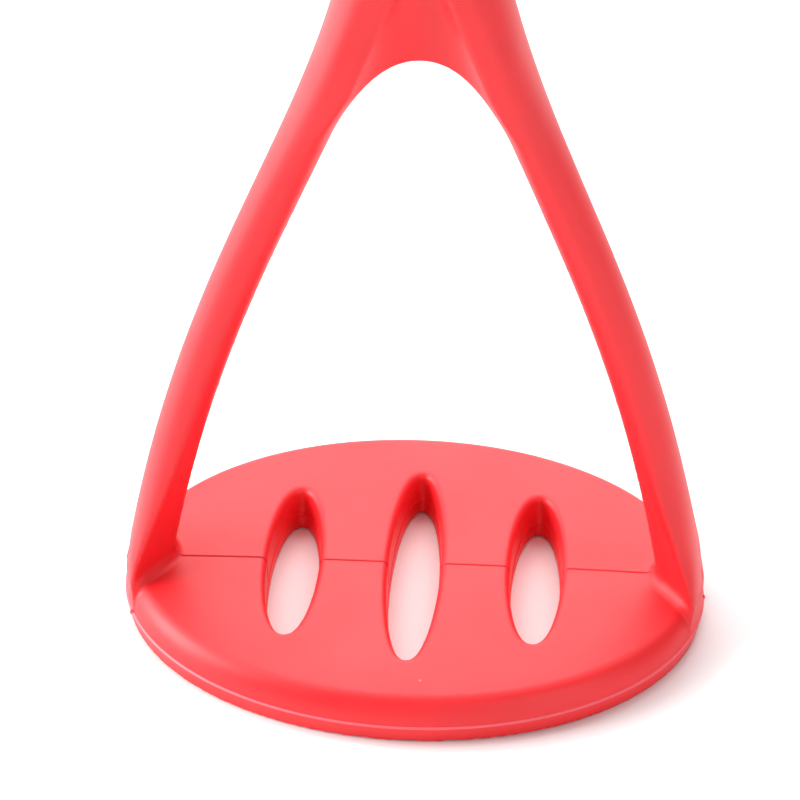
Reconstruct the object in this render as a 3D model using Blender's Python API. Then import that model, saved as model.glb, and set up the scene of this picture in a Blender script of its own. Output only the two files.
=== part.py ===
"""Potato masher: a silicone-covered oval head with three slots on two splayed legs, and a gripped handle.

Metres, +Z up. The origin is the middle of the head's flat underside, +X runs along the head's long axis
through both legs, and +Y is the head's short axis. Inside the silicone a welded steel skeleton (a slotted
plate, two bent rods, a gusset and a crimped sleeve) carries the load up into a nylon handle core.
"""

import math

import bmesh
import bpy
from mathutils import Vector

MM = 0.001
FIT_GAP = 0.3 * MM
SHARP_ANGLE = math.radians(40)
# How far a cutter runs past the surface that it opens
CUT_MARGIN = 2 * MM

# Head plate
PLATE_HALF_LENGTH = 50.2 * MM
PLATE_HALF_WIDTH = 38.5 * MM
PLATE_HEIGHT = 8.0 * MM
PLATE_DOME = 0.5 * MM
RIM_LINE_HEIGHT = 3.0 * MM
RIM_UNDERCUT = 0.65 * MM
RIM_ROUNDING = 4.5 * MM
BASE_EDGE = 0.5 * MM

# Slots through the head plate
SLOT_PITCH = 21.0 * MM
SLOT_HALF_WIDTH = 4.4 * MM
SIDE_SLOT_HALF_LENGTH = 19.7 * MM
MIDDLE_SLOT_HALF_LENGTH = 24.8 * MM
SLOT_LIP = 1.2 * MM

# Legs: the centreline of the right one in the XZ plane is one cubic Bezier curve
LEG_CURVE = [(46.74 * MM, 0.0), (35.4 * MM, 79.3 * MM), (7.6 * MM, 97.2 * MM), (6.55 * MM, 150.0 * MM)]
LEG_HALF_WIDTH = 3.95 * MM
LEG_SECTION_POWER = 2.4
# (height, half depth in Y): broad foot, slim shank, broad shoulder, then drawn in under the yoke's skin
LEG_DEPTHS = [
    (0.0, 11.6 * MM),
    (45.0 * MM, 6.3 * MM),
    (85.0 * MM, 6.2 * MM),
    (110.0 * MM, 7.7 * MM),
    (138.0 * MM, 5.0 * MM),
]
LEG_START = 0.018
LEG_END = 0.92

# Arch: the rounded crotch that runs from leg to leg. The curve is the centreline of its right half
ARCH_CURVE = [(18.5 * MM, 93.1 * MM), (14.85 * MM, 102.3 * MM), (9.5 * MM, 113.2 * MM), (0.0, 113.2 * MM)]
ARCH_HALF_WIDTH = 3.0 * MM
ARCH_DEPTH_SHARE = 0.97

# Yoke and neck: one oval body above the arch that turns round at the collar
YOKE_BOTTOM = 113.2 * MM
YOKE_BOTTOM_HALF_DEPTH = 7.9 * MM
YOKE_INSET = 0.3 * MM
NECK_TOP = 150.0 * MM
NECK_RADIUS = 10.4 * MM
SPIGOT_RADIUS = 8.9 * MM
SPIGOT_TOP = 158.0 * MM

# Scoop down the front and back of the yoke: a trough that tapers to nothing at the top
SCOOP_TOP = 135.0 * MM
SCOOP_BOTTOM = 92.0 * MM
SCOOP_TOP_DEPTH = 9.3 * MM
SCOOP_RADIUS_SLOPE = 0.5
SCOOP_DEPTH_SLOPE = 0.193

# Steel skeleton
CORE_PLATE_BOTTOM = 3.0 * MM
CORE_PLATE_TOP = 5.0 * MM
CORE_PLATE_INSET = 2.6 * MM
CORE_SLOT_MARGIN = 1.8 * MM
ROD_RADIUS = 2.4 * MM
ROD_PITCH_HALF = 4.0 * MM
ROD_CURVE = [
    (45.2 * MM, CORE_PLATE_TOP + FIT_GAP),
    (35.5 * MM, 79.3 * MM),
    (7.6 * MM, 97.1 * MM),
    (ROD_PITCH_HALF, 154.0 * MM),
]
ROD_TOP = 222.0 * MM
GUSSET_BOTTOM = 114.0 * MM
GUSSET_TOP = 126.0 * MM
GUSSET_HALF_THICKNESS = 1.0 * MM
SLEEVE_BOTTOM = 150.8 * MM
SLEEVE_TOP = 157.0 * MM
SLEEVE_WALL = 1.0 * MM
WELD_LEG = 1.5 * MM
WELD_SWEEP = math.radians(200)

# Handle
COLLAR_BOTTOM = NECK_TOP + 0.4 * MM
COLLAR_TOP = 164.2 * MM
COLLAR_RADIUS = 10.9 * MM
COLLAR_BULGE = 0.3 * MM
COLLAR_EDGE = 0.7 * MM
COLLAR_BORE = SPIGOT_RADIUS + FIT_GAP
CORE_BOTTOM = SPIGOT_TOP + 0.4 * MM
CORE_TOP = 266.0 * MM
CORE_RADIUS = 8.2 * MM
CORE_SHOULDER_TOP = COLLAR_TOP - 2.0 * MM
GRIP_BOTTOM = COLLAR_TOP + 0.4 * MM
GRIP_TOP = 266.0 * MM
GRIP_BORE = CORE_RADIUS + FIT_GAP
GRIP_EDGE = 1.6 * MM
GRIP_FLATNESS = 0.1
# (share of the grip's length, radius): thumb swelling, waist and palm swelling
GRIP_PROFILE = [
    (0.0, 11.2 * MM),
    (0.16, 12.7 * MM),
    (0.42, 11.7 * MM),
    (0.78, 13.7 * MM),
    (1.0, 12.4 * MM),
]
BORE_END_GAP = 1.0 * MM
CROSS_PIN_RADIUS = 1.25 * MM
CROSS_PIN_HALF_LENGTH = CORE_RADIUS - 0.1 * MM
CROSS_PIN_HEIGHTS = {"lower_cross_pin": 178.0 * MM, "upper_cross_pin": 206.0 * MM}

# End cap with its hanging eye
CAP_BOTTOM = GRIP_TOP + 0.4 * MM
CAP_RADIUS = 12.2 * MM
CAP_SKIRT = 3.0 * MM
CAP_DOME = 6.0 * MM
CAP_EDGE = 0.6 * MM
CAP_SPIGOT_RADIUS = 5.0 * MM
CAP_SPIGOT_BOTTOM = 247.0 * MM
CAP_PIN_HEIGHT = 257.0 * MM
EYE_CENTRE = 280.6 * MM
EYE_OUTER_RADIUS = 9.0 * MM
EYE_INNER_RADIUS = 4.6 * MM
EYE_HALF_THICKNESS = 2.6 * MM
EYE_EDGE = 1.0 * MM

# Facets
PLATE_SIDES = 80
SHOULDER_STEPS = 5
SLOT_SIDES = 28
LIP_STEPS = 3
LEG_SIDES = 20
LEG_STEPS = 18
ARCH_STEPS = 7
YOKE_STEPS = 6
NECK_SIDES = 36
SCOOP_SIDES = 80
ROD_SIDES = 10
ROD_STEPS = 14
WELD_STEPS = 9
ROUND_SIDES = 36
GRIP_STEPS = 16
DOME_STEPS = 5
PIN_SIDES = 12


# ---- Shape helpers ----


def clear_scene():
    for obj in list(bpy.data.objects):
        bpy.data.objects.remove(obj)


def material(name, colour, roughness, metallic=0.0):
    made = bpy.data.materials.new(name)
    made.use_nodes = True
    shader = made.node_tree.nodes["Principled BSDF"]
    shader.inputs["Base Color"].default_value = (*colour, 1.0)
    shader.inputs["Roughness"].default_value = roughness
    shader.inputs["Metallic"].default_value = metallic
    return made


def make_object(name, bm, finish=None):
    """A named object from a bmesh, its faces pointing out, shaded smooth except past SHARP_ANGLE."""
    bmesh.ops.recalc_face_normals(bm, faces=bm.faces)
    mesh = bpy.data.meshes.new(name)
    bm.to_mesh(mesh)
    bm.free()
    mesh.shade_smooth()
    mesh.set_sharp_from_angle(angle=SHARP_ANGLE)
    obj = bpy.data.objects.new(name, mesh)
    bpy.context.scene.collection.objects.link(obj)
    if finish:
        mesh.materials.append(finish)
    return obj


def loft(rings, closed=False):
    """A bmesh skinned over rings of equal count. Unless closed into a loop, both ends are capped."""
    bm = bmesh.new()
    rows = [[bm.verts.new(point) for point in ring] for ring in rings]
    pairs = list(zip(rows, rows[1:]))
    if closed:
        pairs.append((rows[-1], rows[0]))
    for low, high in pairs:
        for i in range(len(low)):
            j = (i + 1) % len(low)
            bm.faces.new((low[i], low[j], high[j], high[i]))
    if not closed:
        bm.faces.new(reversed(rows[0]))
        bm.faces.new(rows[-1])
    return bm


def oval(centre, across, along, half_across, half_along, sides, power=2.0, turned=0.0):
    """A ring of points on a superellipse round centre, in the plane of two unit vectors.

    turned moves the points on by that share of a facet, so that two bodies' edges don't coincide.
    """
    ring = []
    for k in range(sides):
        turn = 2 * math.pi * (k + turned) / sides
        c, s = math.cos(turn), math.sin(turn)
        u = math.copysign(abs(c) ** (2 / power), c) * half_across
        v = math.copysign(abs(s) ** (2 / power), s) * half_along
        ring.append(centre + across * u + along * v)
    return ring


def level_oval(height, half_x, half_y, sides, power=2.0, x=0.0, y=0.0):
    return oval(Vector((x, y, height)), Vector((1, 0, 0)), Vector((0, 1, 0)), half_x, half_y, sides, power)


def revolved(profile, sides=ROUND_SIDES, closed=False):
    """A body turned about Z from (radius, height) points."""
    return loft([level_oval(z, r, r, sides) for r, z in profile], closed)


def prism_along_y(outline, half_depth):
    """A body from an XZ outline, extruded from -half_depth to half_depth in Y."""
    return loft([[Vector((x, y, z)) for x, z in outline] for y in (-half_depth, half_depth)])


def bezier(points, t):
    """The point at t on a cubic Bezier curve of four (x, z) points."""
    a, b, c, d = (Vector(p) for p in points)
    s = 1 - t
    return a * s**3 + b * 3 * s * s * t + c * 3 * s * t * t + d * t**3


def smooth_step(t):
    t = min(1.0, max(0.0, t))
    return t * t * (3 - 2 * t)


def curve_through(points, t):
    """The value at t of a smooth curve through (t, value) points that levels off at each of them."""
    for (t0, v0), (t1, v1) in zip(points, points[1:]):
        if t <= t1:
            return v0 + (v1 - v0) * smooth_step((t - t0) / (t1 - t0))
    return points[-1][1]


def boolean(obj, other, operation):
    """Joins or cuts with a modifier. The other object stays in the scene as a hidden wire helper."""
    modifier = obj.modifiers.new(f"{operation.lower()} {other.name}", "BOOLEAN")
    modifier.operation = operation
    modifier.object = other
    modifier.solver = "EXACT"
    other.hide_render = True
    other.display_type = "WIRE"


def mirrored_x(bm):
    """The bmesh reflected in X = 0, for the left-hand twin of a right-hand piece."""
    for vert in bm.verts:
        vert.co.x = -vert.co.x
    return bm


# ---- Head ----


def plate_body():
    """The oval plate: near-straight flank up to the rim line, an elliptical shoulder, a faint dome on top."""
    shoulder_rise = PLATE_HEIGHT - RIM_LINE_HEIGHT
    profile = [
        (RIM_UNDERCUT + BASE_EDGE, 0.0),
        (RIM_UNDERCUT + BASE_EDGE * 0.3, BASE_EDGE * 0.3),
        (RIM_UNDERCUT, BASE_EDGE),
        (0.0, RIM_LINE_HEIGHT),
    ]
    for k in range(1, SHOULDER_STEPS + 1):
        turn = math.pi / 2 * k / SHOULDER_STEPS
        inset = RIM_ROUNDING * (1 - math.cos(turn))
        profile.append((inset, RIM_LINE_HEIGHT + shoulder_rise * math.sin(turn)))
    for share in (0.5, 0.99):
        inset = RIM_ROUNDING + (PLATE_HALF_WIDTH - RIM_ROUNDING) * share
        profile.append((inset, PLATE_HEIGHT + PLATE_DOME * smooth_step(share)))
    return loft(
        [level_oval(z, PLATE_HALF_LENGTH - i, PLATE_HALF_WIDTH - i, PLATE_SIDES) for i, z in profile]
    )


def slot_cutter(name, x, half_length, margin=0.0, lip=0.0):
    """An oval cutter through the plate, wider by margin, with a rounded lip at the top if lip is given."""
    half_width = SLOT_HALF_WIDTH + margin
    half_length = half_length + margin
    rings = [level_oval(-CUT_MARGIN, half_width, half_length, SLOT_SIDES, x=x)]
    top = PLATE_HEIGHT + PLATE_DOME * 0.5
    steps = LIP_STEPS if lip else 0
    for k in range(steps + 1):
        turn = math.pi / 2 * k / max(steps, 1)
        out = lip * (1 - math.cos(turn))
        height = top - lip + lip * math.sin(turn)
        rings.append(level_oval(height, half_width + out, half_length + out, SLOT_SIDES, x=x))
    out = lip * 1.6
    rings.append(level_oval(top + CUT_MARGIN, half_width + out, half_length + out, SLOT_SIDES, x=x))
    return make_object(name, loft(rings))


def curve_points(curve, start, end, steps):
    return [bezier(curve, start + (end - start) * k / steps) for k in range(steps + 1)]


def tube(points, half_width, half_depth, sides, power=2.0, level_start=True):
    """A tube along (x, z) points, its sections square to the path and half_depth(height) deep in Y."""
    rings = []
    for k, point in enumerate(points):
        before, after = points[max(k - 1, 0)], points[min(k + 1, len(points) - 1)]
        tangent = (after - before).normalized()
        if k == 0 and level_start:
            tangent = Vector((0, 1))
        across = Vector((tangent.y, 0, -tangent.x))
        centre = Vector((point.x, 0, point.y))
        depth = half_depth(point.y)
        rings.append(oval(centre, across, Vector((0, 1, 0)), half_width, depth, sides, power, 0.5))
    return loft(rings)


def leg_half_depth(height):
    return curve_through(LEG_DEPTHS, height)


def leg_body():
    points = curve_points(LEG_CURVE, LEG_START, LEG_END, LEG_STEPS)
    return tube(points, LEG_HALF_WIDTH, leg_half_depth, LEG_SIDES, LEG_SECTION_POWER)


def arch_body():
    """The crotch's rounded arch, from inside one leg over to inside the other."""
    right = curve_points(ARCH_CURVE, 0.0, 1.0, ARCH_STEPS)
    left = [Vector((-p.x, p.y)) for p in right[-2::-1]]

    def half_depth(height):
        return leg_half_depth(height) * ARCH_DEPTH_SHARE

    return tube(right + left, ARCH_HALF_WIDTH, half_depth, LEG_SIDES, LEG_SECTION_POWER, False)


def leg_outer_x(height):
    """X of the right leg's outer edge at a height."""
    point, after = min(
        zip(curve_points(LEG_CURVE, 0.6, 0.99, 200), curve_points(LEG_CURVE, 0.61, 1.0, 200)),
        key=lambda pair: abs(pair[0].y - height),
    )
    return point.x + LEG_HALF_WIDTH / (after - point).normalized().y


def yoke_body():
    """The oval yoke above the arch, the round neck over it, and the spigot that enters the collar."""
    rings = []
    for k in range(YOKE_STEPS + 1):
        t = k / YOKE_STEPS
        height = YOKE_BOTTOM + (NECK_TOP - YOKE_BOTTOM) * t
        half_x = leg_outer_x(height) - YOKE_INSET * (1 - t)
        half_x += (NECK_RADIUS - half_x) * smooth_step(2 * t - 1)
        half_y = YOKE_BOTTOM_HALF_DEPTH + (NECK_RADIUS - YOKE_BOTTOM_HALF_DEPTH) * smooth_step(t)
        power = LEG_SECTION_POWER + (2 - LEG_SECTION_POWER) * t
        rings.append(level_oval(height, half_x, half_y, NECK_SIDES, power))
    for height in (NECK_TOP, SPIGOT_TOP):
        rings.append(level_oval(height, SPIGOT_RADIUS, SPIGOT_RADIUS, NECK_SIDES))
    return loft(rings)


def scoop_cutter(name, side):
    """A tapering round trough down the yoke's front (side -1) or back (side 1)."""
    rings = []
    for height in (SCOOP_BOTTOM, SCOOP_TOP):
        radius = 0.3 * MM + SCOOP_RADIUS_SLOPE * (SCOOP_TOP - height)
        floor = SCOOP_TOP_DEPTH - SCOOP_DEPTH_SLOPE * (SCOOP_TOP - height)
        rings.append(level_oval(height, radius, radius, SCOOP_SIDES, y=side * (floor + radius)))
    return make_object(name, loft(rings))


def build_head(finish):
    head = make_object("head_overmould", plate_body(), finish)
    right_leg = make_object("right_leg_form", leg_body())
    left_leg = make_object("left_leg_form", mirrored_x(leg_body()))
    arch = make_object("arch_form", arch_body())
    yoke = make_object("yoke_form", yoke_body())
    for form in (right_leg, left_leg, arch, yoke):
        boolean(head, form, "UNION")
    boolean(head, scoop_cutter("front_scoop_cutter", -1), "DIFFERENCE")
    boolean(head, scoop_cutter("back_scoop_cutter", 1), "DIFFERENCE")
    for name, x, half_length in slots():
        boolean(head, slot_cutter(f"{name}_cutter", x, half_length, lip=SLOT_LIP), "DIFFERENCE")
    return head


def slots():
    """(name, x, half length) of each slot."""
    return [
        ("left_slot", -SLOT_PITCH, SIDE_SLOT_HALF_LENGTH),
        ("middle_slot", 0.0, MIDDLE_SLOT_HALF_LENGTH),
        ("right_slot", SLOT_PITCH, SIDE_SLOT_HALF_LENGTH),
    ]


# ---- Steel skeleton ----


def core_plate_body(gap=0.0):
    half_x = PLATE_HALF_LENGTH - CORE_PLATE_INSET + gap
    half_y = PLATE_HALF_WIDTH - CORE_PLATE_INSET + gap
    heights = (CORE_PLATE_BOTTOM - gap, CORE_PLATE_TOP + gap)
    return loft([level_oval(z, half_x, half_y, PLATE_SIDES) for z in heights])


def cut_core_slots(obj, gap=0.0):
    for name, x, half_length in slots():
        cutter = slot_cutter(f"{obj.name}_{name}", x, half_length, CORE_SLOT_MARGIN - gap)
        boolean(obj, cutter, "DIFFERENCE")


def rod_body(gap=0.0):
    """One leg rod, from the core plate up into the handle core."""
    points = curve_points(ROD_CURVE, 0.0, 1.0, ROD_STEPS) + [Vector((ROD_PITCH_HALF, ROD_TOP))]
    return tube(points, ROD_RADIUS + gap, lambda height: ROD_RADIUS + gap, ROD_SIDES)


def weld_body(gap=0.0):
    """A fillet bead round the plate-centre side of the right rod's foot."""
    inner = ROD_RADIUS + FIT_GAP - gap
    outer = ROD_RADIUS + FIT_GAP + WELD_LEG + gap
    base = CORE_PLATE_TOP + FIT_GAP - gap
    section = [(inner, base), (outer, base), (inner, base + WELD_LEG + 2 * gap)]
    rings = []
    for k in range(WELD_STEPS + 1):
        turn = math.pi - WELD_SWEEP / 2 + WELD_SWEEP * k / WELD_STEPS
        rings.append(
            [Vector((ROD_CURVE[0][0] + r * math.cos(turn), r * math.sin(turn), z)) for r, z in section]
        )
    return loft(rings)


def rod_x_at(height):
    """The rod's centreline X at a height, by stepping along its curve."""
    samples = [bezier(ROD_CURVE, k / 400) for k in range(401)]
    return min(samples, key=lambda p: abs(p.y - height)).x


def gusset_body(gap=0.0):
    """A stamped plate between the rods, narrower at the top."""
    clearance = ROD_RADIUS * 1.07 + FIT_GAP - gap
    low, high = GUSSET_BOTTOM - gap, GUSSET_TOP + gap
    low_x, high_x = rod_x_at(low) - clearance, rod_x_at(high) - clearance
    outline = [(-low_x, low), (low_x, low), (high_x, high), (-high_x, high)]
    return prism_along_y(outline, GUSSET_HALF_THICKNESS + gap)


def stadium(height, half_span, radius, sides=28):
    """A level ring with round ends about two centres at X = -half_span and half_span."""
    ring = []
    for k in range(sides):
        turn = 2 * math.pi * (k + 0.5) / sides - math.pi / 2
        shift = half_span if k < sides / 2 else -half_span
        ring.append(Vector((shift + radius * math.cos(turn), radius * math.sin(turn), height)))
    return ring


def sleeve_body():
    """The steel band crimped round both rods: a stadium-shaped tube."""
    bore, outside = ROD_RADIUS + FIT_GAP, ROD_RADIUS + FIT_GAP + SLEEVE_WALL
    rings = [
        stadium(SLEEVE_BOTTOM, ROD_PITCH_HALF, bore),
        stadium(SLEEVE_TOP, ROD_PITCH_HALF, bore),
        stadium(SLEEVE_TOP, ROD_PITCH_HALF, outside),
        stadium(SLEEVE_BOTTOM, ROD_PITCH_HALF, outside),
    ]
    return loft(rings, closed=True)


def sleeve_pocket_body():
    radius = ROD_RADIUS + 2 * FIT_GAP + SLEEVE_WALL
    heights = (SLEEVE_BOTTOM - FIT_GAP, SPIGOT_TOP + CUT_MARGIN)
    return loft([stadium(z, ROD_PITCH_HALF, radius) for z in heights])


def build_skeleton(head, finish):
    """The welded steel skeleton, and the pocket that each piece leaves in the silicone head."""
    plate = make_object("core_plate", core_plate_body(), finish)
    cut_core_slots(plate)
    pocket = make_object("core_plate_pocket", core_plate_body(FIT_GAP))
    cut_core_slots(pocket, FIT_GAP)
    pockets = [pocket]
    for side, turned in (("right", lambda bm: bm), ("left", mirrored_x)):
        rod = make_object(f"{side}_leg_rod", turned(rod_body()), finish)
        for name, height in CROSS_PIN_HEIGHTS.items():
            boolean(rod, pin_hole(f"{side}_rod_{name}_hole", height), "DIFFERENCE")
        make_object(f"{side}_foot_weld", turned(weld_body()), finish)
        pockets.append(make_object(f"{side}_rod_pocket", turned(rod_body(FIT_GAP))))
        pockets.append(make_object(f"{side}_weld_pocket", turned(weld_body(FIT_GAP))))
    make_object("yoke_gusset", gusset_body(), finish)
    pockets.append(make_object("gusset_pocket", gusset_body(FIT_GAP)))
    make_object("rod_crimp_sleeve", sleeve_body(), finish)
    pockets.append(make_object("sleeve_pocket", sleeve_pocket_body()))
    for body in pockets:
        boolean(head, body, "DIFFERENCE")


# ---- Handle ----


def pin_body(height, radius, half_length):
    """A plain round pin along X."""
    across, along = Vector((0, 1, 0)), Vector((0, 0, 1))
    rings = [
        oval(Vector((x, 0, height)), across, along, radius, radius, PIN_SIDES, turned=0.5)
        for x in (-half_length, half_length)
    ]
    return loft(rings)


def pin_hole(name, height):
    return make_object(name, pin_body(height, CROSS_PIN_RADIUS + FIT_GAP, CORE_RADIUS + CUT_MARGIN))


def build_collar(finish):
    """The steel collar between neck and grip: slightly barrelled, with eased edges."""
    middle = (COLLAR_BOTTOM + COLLAR_TOP) / 2
    profile = [
        (COLLAR_BORE, COLLAR_BOTTOM),
        (COLLAR_RADIUS - COLLAR_EDGE, COLLAR_BOTTOM),
        (COLLAR_RADIUS - COLLAR_EDGE * 0.3, COLLAR_BOTTOM + COLLAR_EDGE * 0.3),
        (COLLAR_RADIUS, COLLAR_BOTTOM + COLLAR_EDGE),
        (COLLAR_RADIUS + COLLAR_BULGE, middle),
        (COLLAR_RADIUS, COLLAR_TOP - COLLAR_EDGE),
        (COLLAR_RADIUS - COLLAR_EDGE * 0.3, COLLAR_TOP - COLLAR_EDGE * 0.3),
        (COLLAR_RADIUS - COLLAR_EDGE, COLLAR_TOP),
        (COLLAR_BORE, COLLAR_TOP),
    ]
    return make_object("neck_collar", revolved(profile, closed=True), finish)


def build_handle_core(finish):
    """The nylon core: a shouldered round bar with rod bores, a cap bore and cross-pin holes."""
    profile = [
        (SPIGOT_RADIUS, CORE_BOTTOM),
        (SPIGOT_RADIUS, CORE_SHOULDER_TOP),
        (CORE_RADIUS, CORE_SHOULDER_TOP),
        (CORE_RADIUS, CORE_TOP),
    ]
    core = make_object("handle_core", revolved(profile), finish)
    for side, x in (("right", ROD_PITCH_HALF), ("left", -ROD_PITCH_HALF)):
        radius = ROD_RADIUS + FIT_GAP
        heights = (CORE_BOTTOM - CUT_MARGIN, ROD_TOP + BORE_END_GAP)
        bore = loft([level_oval(z, radius, radius, ROD_SIDES * 2, x=x) for z in heights])
        boolean(core, make_object(f"{side}_rod_bore", bore), "DIFFERENCE")
    radius = CAP_SPIGOT_RADIUS + FIT_GAP
    cap_bore = revolved([(radius, CAP_SPIGOT_BOTTOM - BORE_END_GAP), (radius, CORE_TOP + CUT_MARGIN)])
    boolean(core, make_object("cap_bore", cap_bore), "DIFFERENCE")
    for name, height in {**CROSS_PIN_HEIGHTS, "cap_pin": CAP_PIN_HEIGHT}.items():
        boolean(core, pin_hole(f"core_{name}_hole", height), "DIFFERENCE")
    return core


def grip_ring(share, inset=0.0):
    """One outer ring of the grip: round at both ends, a little flattened in Y between them."""
    radius = curve_through(GRIP_PROFILE, share) - inset
    flatness = GRIP_FLATNESS * smooth_step(share / 0.3) * smooth_step((1 - share) / 0.2)
    height = GRIP_BOTTOM + (GRIP_TOP - GRIP_BOTTOM) * share
    return level_oval(height, radius, radius * (1 - flatness), ROUND_SIDES)


def build_grip(finish):
    """The silicone grip sleeve over the core, with rounded ends."""
    edge_share = GRIP_EDGE / (GRIP_TOP - GRIP_BOTTOM)
    edge = [(0.0, 1.0), (0.2, 0.35), (1.0, 0.0)]
    rings = [level_oval(GRIP_BOTTOM, GRIP_BORE, GRIP_BORE, ROUND_SIDES)]
    rings += [grip_ring(edge_share * along, GRIP_EDGE * 0.6 * inset) for along, inset in edge]
    body_share = 1 - 2 * edge_share
    rings += [grip_ring(edge_share + body_share * k / GRIP_STEPS) for k in range(1, GRIP_STEPS)]
    rings += [grip_ring(1 - edge_share * along, GRIP_EDGE * 0.6 * inset) for along, inset in edge[::-1]]
    rings.append(level_oval(GRIP_TOP, GRIP_BORE, GRIP_BORE, ROUND_SIDES))
    return make_object("handle_grip", loft(rings, closed=True), finish)


def build_pins(finish):
    """The two pins that hold the rods in the handle core, and the one that holds the end cap."""
    for name, height in {**CROSS_PIN_HEIGHTS, "cap_pin": CAP_PIN_HEIGHT}.items():
        make_object(name, pin_body(height, CROSS_PIN_RADIUS, CROSS_PIN_HALF_LENGTH), finish)


def eye_body():
    """The flat round lug that becomes the hanging eye, its edges eased."""
    front = [
        (EYE_OUTER_RADIUS - EYE_EDGE, -EYE_HALF_THICKNESS),
        (EYE_OUTER_RADIUS - EYE_EDGE * 0.3, -EYE_HALF_THICKNESS + EYE_EDGE * 0.3),
        (EYE_OUTER_RADIUS, -EYE_HALF_THICKNESS + EYE_EDGE),
    ]
    back = [(radius, -y) for radius, y in front[::-1]]
    return loft([upright_ring(y, radius) for radius, y in front + back])


def upright_ring(y, radius):
    """A ring round the hanging eye's axis, which runs along Y."""
    centre = Vector((0, y, EYE_CENTRE))
    return oval(centre, Vector((1, 0, 0)), Vector((0, 0, 1)), radius, radius, ROUND_SIDES)


def eye_hole_body():
    """The eye's hole, a little flared at both faces."""
    flare = EYE_EDGE * 0.5
    front = [
        (EYE_INNER_RADIUS + flare, -CAP_RADIUS),
        (EYE_INNER_RADIUS + flare, -EYE_HALF_THICKNESS),
        (EYE_INNER_RADIUS, -EYE_HALF_THICKNESS + flare),
    ]
    back = [(radius, -y) for radius, y in front[::-1]]
    return loft([upright_ring(y, radius) for radius, y in front + back])


def build_end_cap(finish):
    """The domed steel cap with its spigot, the hanging eye joined on top and the pin hole through."""
    skirt_top = CAP_BOTTOM + CAP_SKIRT
    profile = [
        (CAP_SPIGOT_RADIUS - CAP_EDGE, CAP_SPIGOT_BOTTOM),
        (CAP_SPIGOT_RADIUS, CAP_SPIGOT_BOTTOM + CAP_EDGE),
        (CAP_SPIGOT_RADIUS, CAP_BOTTOM),
        (CAP_RADIUS - CAP_EDGE, CAP_BOTTOM),
        (CAP_RADIUS, CAP_BOTTOM + CAP_EDGE),
    ]
    for k in range(DOME_STEPS):
        turn = math.pi / 2 * k / DOME_STEPS
        profile.append((CAP_RADIUS * math.cos(turn), skirt_top + CAP_DOME * math.sin(turn)))
    profile.append((CAP_RADIUS * 0.04, skirt_top + CAP_DOME))
    cap = make_object("end_cap", revolved(profile), finish)
    boolean(cap, make_object("eye_form", eye_body()), "UNION")
    boolean(cap, make_object("eye_hole_cutter", eye_hole_body()), "DIFFERENCE")
    boolean(cap, pin_hole("cap_spigot_pin_hole", CAP_PIN_HEIGHT), "DIFFERENCE")
    return cap


def main():
    clear_scene()
    silicone = material("red_silicone", (0.84, 0.03, 0.045), 0.48)
    grip_silicone = material("grip_silicone", (0.84, 0.03, 0.045), 0.55)
    core_steel = material("core_steel", (0.55, 0.56, 0.58), 0.4, 1.0)
    trim_steel = material("trim_steel", (0.68, 0.68, 0.69), 0.28, 1.0)
    nylon = material("core_nylon", (0.03, 0.03, 0.032), 0.6)
    head = build_head(silicone)
    build_skeleton(head, core_steel)
    build_collar(trim_steel)
    build_handle_core(nylon)
    build_grip(grip_silicone)
    build_pins(core_steel)
    build_end_cap(trim_steel)


main()
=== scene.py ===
"""Looks for the potato masher: silicone head and grip, steel collar and eye cap, in a white studio.

Lengths are in millimetres unless a name ends in _M, and MM turns them into the frame's metres. The head,
the grip and the end cap are signed-distance fields, so that every fillet, lip, scoop and parting line is
real surface, and one surface-net mesher turns each field into a mesh. The collar is a turned profile.
"""

import math

import bpy
import numpy as np
from mathutils import Matrix, Vector


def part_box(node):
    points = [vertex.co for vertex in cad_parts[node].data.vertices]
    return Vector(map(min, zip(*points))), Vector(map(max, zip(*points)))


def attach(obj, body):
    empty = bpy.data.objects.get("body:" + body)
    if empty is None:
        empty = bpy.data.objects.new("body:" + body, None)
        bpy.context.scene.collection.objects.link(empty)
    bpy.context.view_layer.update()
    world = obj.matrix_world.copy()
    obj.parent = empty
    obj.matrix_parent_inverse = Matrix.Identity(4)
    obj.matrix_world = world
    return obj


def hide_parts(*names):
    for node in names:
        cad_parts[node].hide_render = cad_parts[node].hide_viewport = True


MM = 0.001

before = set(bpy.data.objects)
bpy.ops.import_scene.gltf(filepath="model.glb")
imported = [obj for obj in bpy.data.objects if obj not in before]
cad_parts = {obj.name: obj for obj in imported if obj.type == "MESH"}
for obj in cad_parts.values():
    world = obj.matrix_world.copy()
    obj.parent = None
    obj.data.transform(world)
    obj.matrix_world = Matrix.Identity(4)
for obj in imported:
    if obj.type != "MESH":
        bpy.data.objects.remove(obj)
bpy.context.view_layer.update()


def node_box(name):
    """A CAD node's lowest and highest corners in millimetres."""
    low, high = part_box(name)
    return np.array(low) / MM, np.array(high) / MM


# ---- Sizes taken from the frame ----

HEAD_HIGH = node_box("head_overmould")[1]
COLLAR_LOW, COLLAR_HIGH = node_box("neck_collar")
GRIP_LOW, GRIP_HIGH = node_box("handle_grip")
CAP_LOW, CAP_HIGH = node_box("end_cap")

# Head plate: its top is PLATE_HEIGHT up at the shoulder and PLATE_DOME more in the middle
HALF_LENGTH = HEAD_HIGH[0]
HALF_WIDTH = HEAD_HIGH[1]
PLATE_HEIGHT = 7.6
PLATE_DOME = 0.9
BASE_ROUNDING = 0.8

# Rim: the wall slopes in below the flash line, and above it steps in to the rounded shoulder
RIM_LINE = 3.0
RIM_UNDERCUT = 0.65
RIM_LEDGE = 0.3
RIM_LEDGE_RISE = 0.22
RIM_SHOULDER = 3.1
RIM_POWER = 2.0

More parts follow.
